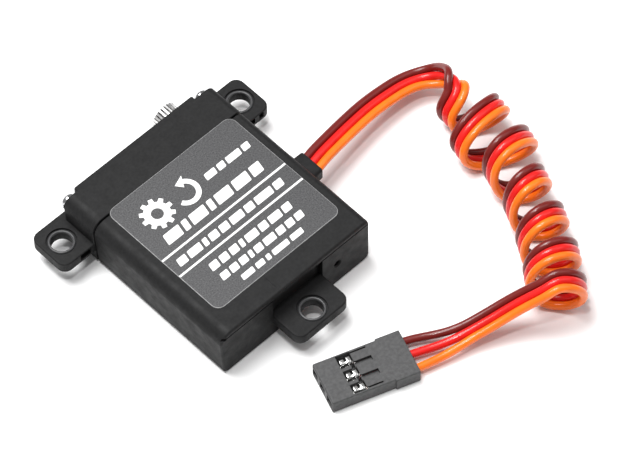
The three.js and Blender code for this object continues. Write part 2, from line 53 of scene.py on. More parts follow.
# ---------- sizes taken from the frame ----------
END_EAR_REACH = 5.85  # from the case's end face to the tip of the end ear
END_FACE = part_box("main_case")[0].y / MM + END_EAR_REACH


def span(node):
    """A CAD node's lowest and highest corner in this script's millimetres."""
    shift = Vector((0, END_FACE, 0))
    return [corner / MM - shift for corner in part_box(node)]


case_low, case_high = span("main_case")
gear_low, gear_high = span("gear_case")
label_low, label_high = span("label_sticker")
grommet_low, grommet_high = span("cable_grommet")
shaft_low, shaft_high = span("output_shaft")
LEFT = case_low.x
RIGHT = case_high.x
TOP = case_high.z
MID = TOP / 2
SEAM = case_high.y
GEAR_START = gear_low.y
EAR_REACH = gear_high.x
OUTPUT_X = (shaft_low.x + shaft_high.x) / 2

# ---------- sizes of the details ----------
WALL = 0.9
END_WALL = 1.2
FIT = 0.05  # clearance round a part that sits in a hole
PAST = 1  # how far a cutting shape reaches past the face that it opens
# Radii of the section's corners, how far in the lower left one stands, and how far the gear case's
# section stands proud of the main case's.
CASE = {"soft": 2.2, "sharp": 1.2, "foot": 1.0, "foot_inset": 0.4, "proud": 0.1}
SHOULDER = 34.6  # where the gear case's shell ends, below the heads of the screws
BLOCK = {"left": -12.7, "right": 11.7, "end": 35.3, "corner": 0.3, "roof": 33.0}
# How far each slab's low and high edges are rounded.
EDGES = {"main_case": (0.4, 0.12), "gear_case": (0.15, 0.3), "block": (0, 0.3), "ear": (0.2, 0.25),
         "label": (0, 0.09), "plug_front": (0.3, 0), "plug_back": (0.12, 0.15)}
EAR = {"low": 3.0, "high": 5.0, "corner": 1.5, "end_x": 0.3, "half": 5.25, "end_hole": -3.05,
       "hole_x": 18.45, "hole_y": 32.0}
# Radii of the hole, the bead round it and the groove round that, how deep the groove is, how far the
# bead stands below the ear's face, and how far the hole flares at the underside.
EAR_HOLE = {"radius": 1.7, "bead": 2.16, "floor": 2.36, "rim": 2.42, "depth": 0.3, "bead_drop": 0.02,
            "flare": 0.15, "past": 0.1}
# From, to and depth of the notches in the side ears' root edges; only the right ear has the outer one.
EAR_NOTCHES = {-1: [(16.0, 18.1, 0.8)], 1: [(16.0, 18.1, 0.8), (19.0, 19.9, 0.6)]}
NOTCH_HEIGHT = (3.6, 4.8)
POCKET = {"half": 5.1, "depth": 0.9, "past_groove": 0.1}
GROOVE = {"low": 8.9, "high": 9.15, "depth": 0.2}
GROOVE_END = {"reach": 1.1, "low": 8.75, "high": 9.25, "depth": 0.45}
POT_HOLE = {"radius": 0.6, "flare": 0.3, "flare_start": -0.1, "flare_end": 0.2}
MOULD_LINE = {"x": -3.2, "start": 0.8, "end": 3.3, "half": 0.06, "depth": 0.05}
SCREW = {"xs": (-14.1, 13.3), "zs": (1.8, 8.2), "shank": 0.65, "head": 1.34, "rim": 0.3, "dome": 1.1,
         "length": 11, "slot": 0.24, "reach": 0.72, "floor": 0.4, "boss": 1.25, "boss_depth": 7,
         "lift": 0.02, "point": 0.02, "taper": 0.6, "rim_edge": 0.06, "dome_steps": 12}
PINS_X = (-5.4, -0.8, 3.8)
PIN_HOLE = {"radius": 0.45, "end": 33.7}
BEARING = {"radius": 4.0, "end": 35.0, "lip": 3.3, "flare": 0.25, "flare_depth": 0.15, "past": 0.1}
SPLINE = {"teeth": 25, "tip": 2.5, "root": 2.24, "start": 35.5, "lead_in": 0.1, "chamfer": 0.22}
# The output shaft below its spline as (radius, height) pairs, and the hole for the horn's screw.
SHAFT_TAIL = 0.7
SHAFT_STEPS = [(SHAFT_TAIL, 26.9), (0.8, 26.95), (0.8, 31.9), (1.6, 31.92), (1.6, 32.7), (2.45, 32.8),
               (2.45, 35.4), (2.3, 35.5), (2.2, 35.52)]
HORN_HOLE = {"radius": 0.85, "depth": 5, "flare": 0.25}
# Half width, half height and corner radius of the grommet's sections.
GROMMET = {"y": 15.4, "z": 5.4, "flange": 15.9, "neck": (2.35, 1.55, 0.55), "collar": (3.1, 2.4, 0.8),
           "sleeve": (2.4, 1.35, 0.6), "mouth": (2.12, 0.8, 0.6), "mouth_depth": 1.4}

LABEL_CORNER = 1.4
LEVEL = 0.98  # the upward part of a face's normal above which it has the label's face look
PRINT_HEIGHT = 0.015
GEAR_WHEEL = {"x": -6.9, "y": 22.9, "outer": 2.8, "root": 2.15, "hole": 1.0, "teeth": 10}
TURN_ARROW = {"x": -1.2, "y": 22.8, "radius": 2.0, "half_width": 0.42}
# Left, right, low and high of each row of bars, its bars' shares of the width, and the gap between them.
BAR_ROWS = [
    (2.6, 11.6, 22.0, 23.2, (3, 2, 4, 2), 0.45),
    (-9.5, 10.1, 17.5, 19.4, (3, 1, 3, 1, 3, 3, 2), 0.55),
    (-10.9, 10.5, 13.45, 14.85, (2, 3, 1, 2, 2, 3, 2, 4, 2), 0.45),
    (-8.0, 8.4, 9.5, 10.9, (2, 2, 2, 1, 3, 2, 3, 2), 0.45),
    (-8.0, 8.7, 7.2, 8.5, (2, 2, 2, 1, 2, 3, 2, 2, 2), 0.42),
    (-5.8, 6.6, 5.15, 6.15, (3, 2, 1, 4, 3), 0.5),
]
BAR = {"lean": 0.22, "corner": 0.18, "corner_share": 0.2}
RULES = {"ys": (16.1, 12.3), "margin": 0.1, "half": 0.17}

PLUG = {"x": -0.15, "y": -15.0, "z": 0.02, "turn": math.radians(-20), "length": 14.3, "half": 3.825,
        "rear_half": 4.075, "rear": 10.3, "height": 2.55, "pitch": 2.54, "channel": 0.85,
        "floor": 0.5, "roof": 2.1, "corner": 0.25, "overlap": 0.2}
# The opening over the contacts, the step below its rear edge and the windows down to the contacts.
WINDOW = {"start": 3.6, "end": 5.9, "margin": 0.4, "depth": 0.55, "step": 0.6, "step_floor": 0.9,
          "wider": 0.15, "above_floor": 0.3}
# The recesses behind the opening: two between the tongues and one outside each outer tongue.
RECESS = {"end": 8.7, "half": 0.42, "depth": 0.6, "overlap": 0.1}
OUTER_RECESS = {"end": 8.5, "half": 0.13, "depth": 0.7, "inset": 0.52}
SLOTS = (-1, 0, 1)
# Half width, low, high, corner, start, end and rounded ends of a contact's tube, strip, wire crimp,
# insulation crimp and the neck between them.
CONTACT_PARTS = [
    (0.72, 0.62, 1.98, 0.15, 0.35, 3.5, 0.06),
    (0.45, 0.62, 0.9, 0.08, 3.2, 7.3, 0),
    (0.62, 0.64, 2.25, 0.42, 3.9, 4.7, 0.12),
    (0.78, 0.63, 2.32, 0.5, 5.0, 5.75, 0.12),
    (0.3, 0.7, 1.7, 0.2, 4.5, 5.2, 0),
]
# Half width, low, high, start and end of the hole for the pin and the creases in the two crimps.
CONTACT_CUTS = [
    (0.35, 0.95, 1.65, -1, 3.3),
    (0.05, 2.12, 3, 3.8, 4.8),
    (0.05, 2.18, 3, 4.9, 5.9),
]

WIRE = 1.35
WIRE_COLORS = {"wire_brown": (0.145, 0.0085, 0.006), "wire_red": (0.66, 0.009, 0.008),
               "wire_orange": (0.9, 0.165, 0.007)}

# The lead's middle line: out of the grommet, round the curl's axis and into the plug.
EXIT_ROUTE = [
    (16.9, 15.4, 5.45), (18.1, 15.5, 5.55), (19.6, 15.85, 5.65), (22.6, 16.3, 5.5), (27.3, 17.0, 5.0),
    (32.0, 17.5, 4.5), (36.3, 17.6, 3.9), (39.6, 17.4, 3.5),
]
# Where it turns over into the curl, square to the curl's axis.
TURN_ROUTE = [
    (41.5, 16.9, 3.3), (42.9, 16.1, 3.4), (44.0, 15.0, 3.9), (44.5, 13.65, 4.8), (44.6, 12.2, 5.8),
    (44.3, 10.9, 6.5), (43.65, 9.75, 6.8), (42.75, 9.05, 6.7), (41.7, 8.75, 6.15), (40.75, 8.65, 5.4),
]
CURL_AXIS = [(43.2, 11.9, 0), (43.15, -2.4, 0), (35.1, -19.5, 0), (27.9, -26.95, 0)]
# The curl: its turns and the part of them that is used, the samples to a turn, its radius across the
# axis with the widening towards the plug and one wider bulge, and its half height, which rises to a
# limit, over the lowest place of the middle wire.
CURL = {"turns": 6.25, "from": 0.5, "to": 6.3, "phase": -0.26, "samples": 24,
        "radius": 2.8, "widening": 1.36, "bulge": 2.49, "bulge_turn": 1.59, "bulge_width": 0.75,
        "height": 2.7, "rise": 4.6, "most": 4.4, "floor": 0.65}
TAIL_ROUTE = [
    (25.9, -26.5, 8.6), (24.1, -25.2, 7.1), (21.6, -23.7, 5.3), (18.5, -22.4, 3.7), (15.4, -21.2, 2.5),
    (12.4, -20.1, 1.75), (9.8, -18.9, 1.38), (7.4, -17.8, 1.32), (5.2, -16.95, 1.32), (-1.0, -14.69, 1.32),
]
STEP = 0.5  # between the samples of the lead's line
EASING = {"line": 10, "across": 40}  # passes that even out the line and the direction across it
FAN = {"inside": 7.5, "length": 11.0}  # where the wires spread to the plug's pitch

# Half the floor's width in metres, how far it lies below the part in millimetres, and its colour.
FLOOR = {"half": 3, "below": 0.05, "color": (0.93, 0.93, 0.93)}

CLOSE = {"weld": 0.002, "sliver": 0.001}  # vertices and edges this close together are merged
SHARP_ANGLE = math.radians(38)
ROUND_SEGMENTS = 64  # round the larger bores


def placed(point):
    x, y, z = point
    return Vector((x, y + END_FACE, z)) * MM


# ---------- camera and light ----------
VIEW = {"azimuth": math.radians(-42.964), "elevation": math.radians(56.377), "roll": math.radians(-1.14),
        "distance": 0.6883, "target": (9.45, 6.956, 5.0), "focal": 264.9, "sensor": 36}


def make_camera():
    azimuth, elevation, roll = VIEW["azimuth"], VIEW["elevation"], VIEW["roll"]
    level = math.cos(elevation)
    ahead = Vector((-math.sin(azimuth) * level, math.cos(azimuth) * level, -math.sin(elevation)))
    right = Vector((math.cos(azimuth), math.sin(azimuth), 0))
    up = right.cross(ahead)
    turned_right = right * math.cos(roll) + up * math.sin(roll)
    turned_up = up * math.cos(roll) - right * math.sin(roll)
    data = bpy.data.cameras.new("camera")
    data.lens = VIEW["focal"]
    data.sensor_width = VIEW["sensor"]
    camera = bpy.data.objects.new("camera", data)
    bpy.context.scene.collection.objects.link(camera)
    axes = Matrix((turned_right, turned_up, -ahead)).transposed().to_4x4()
    camera.matrix_world = Matrix.Translation(placed(VIEW["target"]) - ahead * VIEW["distance"]) @ axes
    bpy.context.scene.camera = camera


# Place and size in metres, and power in watts.
LIGHTS = {"key": ((-0.08, 0.28, 0.85), 0.5, 10.8), "fill": ((0.45, -0.3, 0.7), 0.6, 1.2),
          "glint": ((-0.15, -0.1, 0.8), 0.06, 1.6)}
WORLD_STRENGTH = 0.31


def make_light(name, place, size, power):
    data = bpy.data.lights.new(name, "AREA")
    data.size = size
    data.energy = power
    light = bpy.data.objects.new(name, data)
    bpy.context.scene.collection.objects.link(light)
    light.location = place
    light.rotation_euler = (-Vector(place)).to_track_quat("-Z", "Y").to_euler()


def make_studio():
    for name, settings in LIGHTS.items():
        make_light(name, *settings)
    world = bpy.data.worlds.new("studio")
    world.use_nodes = True
    background = world.node_tree.nodes["Background"]
    background.inputs["Color"].default_value = (1, 1, 1, 1)
    background.inputs["Strength"].default_value = WORLD_STRENGTH
    bpy.context.scene.world = world
    bpy.context.scene.view_settings.view_transform = "Standard"


# ---------- materials ----------
NOISE_SPAN = (0.3, 0.7)  # the range that most of a noise texture's values lie in
COAT_ROUGHNESS = 0.12


def shader(name, color, roughness, metallic=0.0, specular=0.5, coat=0.0):
    """A new material with its constants on the shader's own sockets."""
    material = bpy.data.materials.new(name)
    material.use_nodes = True
    material.diffuse_color = (*color, 1)
    constants = {"Base Color": (*color, 1), "Roughness": roughness, "Metallic": metallic,
                 "Specular IOR Level": specular, "Coat Weight": coat, "Coat Roughness": COAT_ROUGHNESS}
    for socket, value in constants.items():
        surface(material, socket).default_value = value
    return material


def surface(material, socket):
    """One of the inputs of the material's shader."""
    return material.node_tree.nodes["Principled BSDF"].inputs[socket]


def add_node(material, kind, **values):
    """A new node of the material, with values for its inputs (underscores stand for spaces)."""
    node = material.node_tree.nodes.new(kind)
    for socket, value in values.items():
        node.inputs[socket.replace("_", " ")].default_value = value
    return node


def link(material, output, target):
    material.node_tree.links.new(output, target)


def noise(material, size, detail=3.0):
    """Noise with features of about that size in millimetres, fixed to the piece."""
    place = add_node(material, "ShaderNodeTexCoord")
    texture = add_node(material, "ShaderNodeTexNoise", Scale=1 / (size * MM), Detail=detail)
    link(material, place.outputs["Object"], texture.inputs["Vector"])
    return texture.outputs["Fac"]


def ramp(material, value, stops):
    """A colour ramp of (position, colour) stops driven by value."""
    node = add_node(material, "ShaderNodeValToRGB")
    elements = node.color_ramp.elements
    while len(elements) < len(stops):
        elements.new(0.5)
    for element, (position, color) in zip(elements, stops):
        element.position = position
        element.color = (*color, 1)
    link(material, value, node.inputs["Fac"])
    return node.outputs["Color"]


def scaled(color, share):
    return tuple(min(1.0, part * share) for part in color)


def varied(material, color, size, spread):
    """Mottles the base colour by spread, in patches of the given size."""
    low, high = NOISE_SPAN
    stops = [(low, scaled(color, 1 - spread)), (high, scaled(color, 1 + spread))]
    link(material, ramp(material, noise(material, size), stops), surface(material, "Base Color"))


def rough(material, size, low, high):
    """Varies the roughness between low and high, in patches of the given size."""
    stretch = add_node(material, "ShaderNodeMapRange", From_Min=NOISE_SPAN[0], From_Max=NOISE_SPAN[1],
                       To_Min=low, To_Max=high)
    link(material, noise(material, size), stretch.inputs["Value"])
    link(material, stretch.outputs["Result"], surface(material, "Roughness"))


def grain(material, size, depth, detail=3.0):
    """Fine relief on the surface, depth in millimetres."""
    bump = add_node(material, "ShaderNodeBump", Distance=depth * MM)
    link(material, noise(material, size, detail), bump.inputs["Height"])
    link(material, bump.outputs["Normal"], surface(material, "Normal"))


def moulded(name, color, grain_size=0.16, grain_depth=0.012, low=0.5, high=0.66, specular=0.3):
    """Spark-textured moulded plastic, with its roughness between low and high."""
    material = shader(name, color, (low + high) / 2, specular=specular)
    varied(material, color, size=0.5, spread=0.22)
    rough(material, size=1.6, low=low, high=high)
    grain(material, grain_size, grain_depth)
    return material


def foil_material():
    """The label's printed face: dark grey with a fine sparkle."""
    color = (0.051, 0.051, 0.053)
    material = shader("label_face", color, 0.42, metallic=0.2)
    varied(material, color, size=0.22, spread=0.6)
    grain(material, size=0.2, depth=0.012)
    return material


def ink_material():
    color = (0.86, 0.86, 0.85)
    material = shader("white_ink", color, 0.45)
    varied(material, color, size=0.25, spread=0.04)
    return material


def metal(name, color, low, high, scratch=0.25, depth=0.003):
    material = shader(name, color, (low + high) / 2, metallic=1)
    varied(material, color, size=1.2, spread=0.08)
    rough(material, size=0.5, low=low, high=high)
    grain(material, scratch, depth)
    return material


def distance_from_shaft(material):
    """How far a point is from the output shaft's axis, in metres."""
    place = add_node(material, "ShaderNodeTexCoord")
    middle = placed((OUTPUT_X, 0, MID))
    move = add_node(material, "ShaderNodeMapping", Location=(-middle.x, 0, -middle.z), Scale=(1, 0, 1))
    link(material, place.outputs["Object"], move.inputs["Vector"])
    length = add_node(material, "ShaderNodeVectorMath")
    length.operation = "LENGTH"
    link(material, move.outputs["Vector"], length.inputs[0])
    return length.outputs["Value"]


def spline_material():
    """Steel, with painted shade between the spline's teeth: darker towards their roots and bright on their
    tips.
    """
    color = (0.72, 0.715, 0.71)
    # The ramp paints shade into the steel, darker the nearer a point lies to the teeth's roots.
    stops = [(0.0, (0.12, 0.12, 0.12)), (0.4, (0.45, 0.445, 0.44)), (0.75, color)]
    material = shader("shaft_steel", color, 0.4, metallic=1)
    share = add_node(material, "ShaderNodeMapRange", From_Min=SPLINE["root"] * MM,
                     From_Max=SPLINE["tip"] * MM)
    link(material, distance_from_shaft(material), share.inputs["Value"])
    link(material, ramp(material, share.outputs["Result"], stops), surface(material, "Base Color"))
    rough(material, size=0.3, low=0.34, high=0.5)
    return material


def rubber_material():
    color = (0.006, 0.006, 0.0063)
    material = shader("grommet_rubber", color, 0.62, specular=0.25)
    varied(material, color, size=0.7, spread=0.25)
    rough(material, size=1.0, low=0.5, high=0.75)
    grain(material, size=0.3, depth=0.01)
    return material


def pvc(name, color):
    """Soft glossy wire insulation, slightly uneven along its length."""
    material = shader(name, color, 0.4, specular=0.25, coat=0.4)
    varied(material, color, size=3.0, spread=0.1)
    rough(material, size=1.2, low=0.34, high=0.46)
    grain(material, size=0.8, depth=0.01, detail=1.0)
    return material


def board_material():
    color = (0.012, 0.09, 0.035)
    material = shader("solder_mask", color, 0.3, coat=0.3)
    varied(material, color, size=0.9, spread=0.3)
    grain(material, size=0.4, depth=0.01)
    return material


# ---------- geometry ----------
def arc(x, y, radius, start, end, steps=6):
    turns = [start + (end - start) * i / steps for i in range(steps + 1)]
    return [(x + radius * math.cos(turn), y + radius * math.sin(turn)) for turn in turns]


def rounded(left, right, low, high, radii):
    """A rectangle with its corners' radii given from the low left corner round to the high left one."""
    if not isinstance(radii, (list, tuple)):
        radii = [radii] * 4
    corners = [(left, low, 1, 1), (right, low, -1, 1), (right, high, -1, -1), (left, high, 1, -1)]
    outline = []
    for quarter, ((x, y, inward_x, inward_y), radius) in enumerate(zip(corners, radii)):
        start = (quarter + 2) * QUARTER
        centre = (x + inward_x * radius, y + inward_y * radius)
        outline += arc(*centre, radius, start, start + QUARTER) if radius else [(x, y)]
    return outline


def inset(outline, depth):
    """The outline with each side moved inward by depth."""
    moved = []
    for i, point in enumerate(outline):
        here = Vector(point)
        before = (here - Vector(outline[i - 1])).normalized()
        after = (Vector(outline[(i + 1) % len(outline)]) - here).normalized()
        inward = Vector((-before.y, before.x))
        mitre = (inward + Vector((-after.y, after.x))).normalized()
        moved.append(here + mitre * (depth / max(mitre.dot(inward), 0.5)))
    return moved


def spread(axis, u, v, height):
    """A point of an outline lying across the axis, at that height along it."""
    return {"x": (height, u, v), "y": (u, height, v), "z": (u, v, height)}[axis]


def loft(rings):
    """A closed solid through rings with the same number of points, capped at both ends."""
    shape = bmesh.new()
    loops = [[shape.verts.new(point) for point in ring] for ring in rings]
    for lower, upper in zip(loops, loops[1:]):
        for i in range(len(lower)):
            j = (i + 1) % len(lower)
            shape.faces.new((lower[i], lower[j], upper[j], upper[i]))
    shape.faces.new(loops[0])
    shape.faces.new(loops[-1])
    bmesh.ops.recalc_face_normals(shape, faces=shape.faces)
    return shape


def edge_levels(low, high, low_edge, high_edge, steps=3):
    """Pairs of height and inset that round a slab's two ends."""
    levels = []
    for end, edge, inward in ((low, low_edge, 1), (high, high_edge, -1)):
        turns = [i / steps * QUARTER for i in range(steps + 1)] if edge else [QUARTER]
        pairs = [(end + inward * edge * (1 - math.cos(turn)), edge * (1 - math.sin(turn)))
                 for turn in turns]
        levels += pairs if inward > 0 else pairs[::-1]
    return levels


def slab(outline, low, high, axis="z", low_edge=0.0, high_edge=0.0):
    """The outline drawn out along an axis, with its two ends' edges rounded."""
    rings = []
    for height, depth in edge_levels(low, high, low_edge, high_edge):
        ring = inset(outline, depth) if depth else outline
        rings.append([spread(axis, u, v, height) for u, v in ring])
    return loft(rings)


def block(x0, x1, y0, y1, z0, z1):
    return slab(rounded(x0, x1, y0, y1, 0), z0, z1)


def turned(profile, u, v, axis="y", segments=48):
    """A turned solid on the line through (u, v) along the axis, from (radius, height) pairs."""
    rings = []
    for radius, height in profile:
        turns = [2 * math.pi * i / segments for i in range(segments)]
        ring = [(u + radius * math.cos(turn), v + radius * math.sin(turn)) for turn in turns]
        rings.append([spread(axis, a, b, height) for a, b in ring])
    return loft(rings)


def rod(radius, start, end, u, v, axis="y", segments=32):
    return turned([(radius, start), (radius, end)], u, v, axis, segments)


def as_object(shape):
    mesh = bpy.data.meshes.new("working")
    shape.to_mesh(mesh)
    shape.free()
    working = bpy.data.objects.new("working", mesh)
    bpy.context.scene.collection.objects.link(working)
    return working


def combined(base, tools, operation):
    """The base with every tool joined to it or cut from it, as a new bmesh."""
    target = as_object(base)
    others = [as_object(tool) for tool in tools]
    for other in others:
        modifier = target.modifiers.new("combine", "BOOLEAN")
        modifier.operation = operation
        modifier.solver = "MANIFOLD"
        modifier.object = other
    graph = bpy.context.evaluated_depsgraph_get()
    result = bmesh.new()
    result.from_mesh(target.evaluated_get(graph).to_mesh())
    for working in [target, *others]:
        bpy.data.objects.remove(working)
    return result


def joined(base, *tools):
    return combined(base, tools, "UNION")


def carved(base, *tools):
    return combined(base, tools, "DIFFERENCE")


def made(name, shape, material, body="case", nodes=(), move=None):
    """Finishes a shape as a piece of the object: cleaned, shaded, placed and riding on its body."""
    bmesh.ops.remove_doubles(shape, verts=shape.verts, dist=CLOSE["weld"])
    bmesh.ops.dissolve_degenerate(shape, dist=CLOSE["sliver"], edges=shape.edges)
    if move:
        shape.transform(move)
    shape.transform(Matrix.Translation((0, END_FACE * MM, 0)) @ Matrix.Scale(MM, 4))
    mesh = bpy.data.meshes.new(name)
    shape.to_mesh(mesh)
    shape.free()
    mesh.materials.append(material)
    mesh.polygons.foreach_set("use_smooth", [True] * len(mesh.polygons))
    mesh.set_sharp_from_angle(angle=SHARP_ANGLE)
    piece = bpy.data.objects.new(name, mesh)
    bpy.context.scene.collection.objects.link(piece)
    weighted = piece.modifiers.new("weighted", "WEIGHTED_NORMAL")
    weighted.keep_sharp = True
    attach(piece, body)
    if nodes:
        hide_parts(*nodes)
    return piece


# ---------- lead ----------
def bezier(points, share):
    points = [Vector(point) for point in points]
    while len(points) > 1:
        points = [a.lerp(b, share) for a, b in zip(points, points[1:])]
    return points[0]


def curl_sample(turn):
    """A point of the curl and the direction across the ribbon there, which is the curl's axis."""
    share = turn / CURL["turns"]
    centre = bezier(CURL_AXIS, share)
    nudge = 0.001
    axis = (bezier(CURL_AXIS, share + nudge) - bezier(CURL_AXIS, share - nudge)).normalized()
    bulge = CURL["bulge"] * math.exp(-(((turn - CURL["bulge_turn"]) / CURL["bulge_width"]) ** 2))
    radius = CURL["radius"] + CURL["widening"] * share + bulge
    height = min(CURL["height"] + CURL["rise"] * share, CURL["most"])
    angle = 2 * math.pi * turn + CURL["phase"]
    side = UP.cross(axis)
    lift = CURL["floor"] + height + height * math.sin(angle)
    return centre + side * radius * math.cos(angle) + UP * lift, axis


def ahead_at(points, i):
    """The way the line of points runs at point i, not normalized."""
    return points[min(i + 1, len(points) - 1)] - points[max(i - 1, 0)]


def level_samples(route, side):
    """A stretch's points with the level direction across each."""
    points = [Vector(point) for point in route]
    return [(point, (ahead_at(points, i).cross(UP) * side).normalized())
            for i, point in enumerate(points)]


def lead_samples():
    """The points of the whole lead's line, each with the direction across the ribbon."""
    count = round((CURL["to"] - CURL["from"]) * CURL["samples"])
    turns = [CURL["from"] + (CURL["to"] - CURL["from"]) * i / count for i in range(count + 1)]
    curl = [curl_sample(turn) for turn in turns]
    curl_across = curl[0][1]
    turning_over = [(Vector(point), curl_across) for point in TURN_ROUTE]
    return level_samples(EXIT_ROUTE, 1) + turning_over + curl + level_samples(TAIL_ROUTE, -1)


def through(samples, step):
    """A smooth curve through the samples (centripetal Catmull-Rom), cut into steps."""
    first, last = samples[0], samples[-1]
    before = (first[0] * 2 - samples[1][0], first[1])
    after = (last[0] * 2 - samples[-2][0], last[1])
    padded = [before, *samples, after]
    curve = []
    for group in zip(padded, padded[1:], padded[2:], padded[3:]):
        knots = [0.0]
        for (a, _), (b, _) in zip(group, group[1:]):
            knots.append(knots[-1] + math.sqrt((b - a).length))
        pieces = max(1, math.ceil((group[2][0] - group[1][0]).length / step))
        for i in range(pieces):
            at = knots[1] + (knots[2] - knots[1]) * i / pieces
            curve.append(tuple(blended([sample[part] for sample in group], knots, at) for part in (0, 1)))
    return curve + [last]


def blended(values, knots, at):
    """Neville's scheme on four values, which gives the Catmull-Rom curve."""
    level = list(values)
    for reach in (1, 2):
        level = [between(level[i], level[i + 1], knots[i], knots[i + reach], at)
                 for i in range(len(level) - 1)]
    return between(level[0], level[1], knots[1], knots[2], at)


def between(a, b, start, end, at):
    return a + (b - a) * ((at - start) / (end - start))


def relaxed(values, passes):
    """The values eased towards their neighbours, with both ends kept."""
    for _ in range(passes):
        inner = [(a + b * 2 + c) / 4 for a, b, c in zip(values, values[1:], values[2:])]
        values = [values[0], *inner, values[-1]]
    return values


def distances_to_end(line):
    """How far each point of the line is from the line's last point, along the line."""
    distances = [0.0]
    for a, b in zip(line[::-1], line[-2::-1]):
        distances.append(distances[-1] + (b - a).length)
    return distances[::-1]


def wire_pitch(to_end):
    """The spacing of the wires, which spreads smoothly to the plug's pitch near the end."""
    share = min(max(1 - (to_end - FAN["inside"]) / FAN["length"], 0), 1)
    share = share * share * (3 - 2 * share)
    return WIRE + (PLUG["pitch"] - WIRE) * share


def wire_paths():
    """The middle lines of the three wires, far wire first."""
    samples = through(lead_samples(), STEP)
    line = relaxed([point for point, _ in samples], EASING["line"])
    across = relaxed([direction for _, direction in samples], EASING["across"])
    paths = [[], [], []]
    for i, (point, side, to_end) in enumerate(zip(line, across, distances_to_end(line))):
        ahead = ahead_at(line, i).normalized()
        side = (side - ahead * side.dot(ahead)).normalized()
        for path, slot in zip(paths, SLOTS):
            path.append(point + side * wire_pitch(to_end) * slot)
    return paths


def make_wire(name, path, material, nodes):
    data = bpy.data.curves.new(name, "CURVE")
    data.dimensions = "3D"
    data.bevel_depth = WIRE / 2 * MM
    data.bevel_resolution = 4
    data.use_fill_caps = True
    spline = data.splines.new("POLY")
    spline.points.add(len(path) - 1)
    for target, point in zip(spline.points, path):
        target.co = (*placed(point), 1)
    data.materials.append(material)
    wire = bpy.data.objects.new(name, data)
    bpy.context.scene.collection.objects.link(wire)
    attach(wire, "case")
    if nodes:
        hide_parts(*nodes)


def make_lead(sockets):
    stands_for = [("lead_tail",), ("lead_exit",), ("lead_curl",)]
    wires = zip(WIRE_COLORS.items(), wire_paths(), stands_for, sockets)
    for (name, color), path, nodes, socket in wires:
        make_wire(name, path, pvc(f"{name}_pvc", color), nodes)


# ---------- case ----------
def case_outline(grow=0.0):
    """Section of the case across Y, with a soft top edge along the motor's side."""
    left, right = LEFT - grow, RIGHT + grow
    soft, sharp, foot, foot_inset = CASE["soft"], CASE["sharp"], CASE["foot"], CASE["foot_inset"]
    return (arc(right - foot, foot, foot, -QUARTER, 0)
            + arc(right - sharp, TOP - sharp, sharp, 0, QUARTER, 3)
            + arc(left + soft, TOP - soft, soft, QUARTER, 2 * QUARTER, 10)
            + arc(left + foot_inset + foot, foot, foot, 2 * QUARTER, 3 * QUARTER))


def screw_places():
    return [(x, z) for x in SCREW["xs"] for z in SCREW["zs"]]


def screw_holes(start, end):
    return [rod(SCREW["shank"] + FIT, start, end, x, z) for x, z in screw_places()]


def hollow(start, end, boss_start):
    """The room inside the case, round the four screw bosses."""
    room = block(LEFT + WALL + FIT, RIGHT - WALL, start, end, WALL, TOP - WALL)
    bosses = [rod(SCREW["boss"], boss_start, end + PAST, x, z) for x, z in screw_places()]
    return carved(room, *bosses)


def ear_slab(outline):
    return slab(outline, EAR["low"], EAR["high"], "z", *EDGES["ear"])


def ear_hole(x, y):
    """The screw hole through an ear, and the groove that leaves a rounded bead round its top."""
    low, high, hole = EAR["low"], EAR["high"], EAR_HOLE
    radius, past = hole["radius"], hole["past"]
    width = (hole["bead"] - radius) / 2
    foot = high - hole["depth"]
    rise = hole["depth"] - hole["bead_drop"]
    profile = [(radius + hole["flare"], low - past), (radius, low + past)]
    for u, v in arc(0, 0, width, 2 * QUARTER, 0, 8):
        profile.append((radius + width + u, foot + v * rise / width))
    profile += [(hole["floor"], foot), (hole["rim"], high + past / 2)]
    return turned(profile, x, y, "z", ROUND_SEGMENTS)


def finish_beads(piece, bead_sheen_look, centres):
    """Gives the beads round an ear's screw holes a smoother finish, and a paler colour that is a painted
    sheen.
    """
    mesh = piece.data
    mesh.materials.append(bead_sheen_look)
    slack = 0.02
    reach = (EAR_HOLE["bead"] + slack) * MM
    foot = (EAR["high"] - EAR_HOLE["depth"] - slack / 2) * MM
    for face in mesh.polygons:
        corners = [mesh.vertices[index].co for index in face.vertices]
        for x, y in centres:
            middle = placed((x, y, 0))
            if all((corner - middle).xy.length < reach and corner.z > foot for corner in corners):
                face.material_index = 1


def end_ear():
    middle, half = EAR["end_x"], EAR["half"]
    corners = [EAR["corner"], EAR["corner"], 0, 0]
    return ear_slab(rounded(middle - half, middle + half, -END_EAR_REACH, PAST, corners))


def end_face_cuts():
    """The groove along the end face, its deeper end and the pocket above the ear."""
    groove = block(LEFT - PAST, RIGHT + PAST, -PAST, GROOVE["depth"], GROOVE["low"], GROOVE["high"])
    groove_end = block(LEFT - PAST, LEFT + GROOVE_END["reach"], -PAST, GROOVE_END["depth"],
                       GROOVE_END["low"], GROOVE_END["high"])
    pocket = block(EAR["end_x"] - POCKET["half"], EAR["end_x"] + POCKET["half"], -PAST, POCKET["depth"],
                   EAR["high"], GROOVE["low"] + POCKET["past_groove"])
    return [groove, groove_end, pocket]


def mould_line():
    x, half = MOULD_LINE["x"], MOULD_LINE["half"]
    return block(x - half, x + half, MOULD_LINE["start"], MOULD_LINE["end"],
                 TOP - MOULD_LINE["depth"], TOP + PAST)


def lead_slot():
    outline = rounded(*grommet_neck(FIT), GROMMET["neck"][2])
    return slab(outline, RIGHT - WALL - PAST, RIGHT + PAST, "x")


def pot_hole():
    radius = POT_HOLE["radius"]
    profile = [(radius + POT_HOLE["flare"], POT_HOLE["flare_start"]), (radius, POT_HOLE["flare_end"]),
               (radius, END_WALL + PAST)]
    return turned(profile, OUTPUT_X, MID)


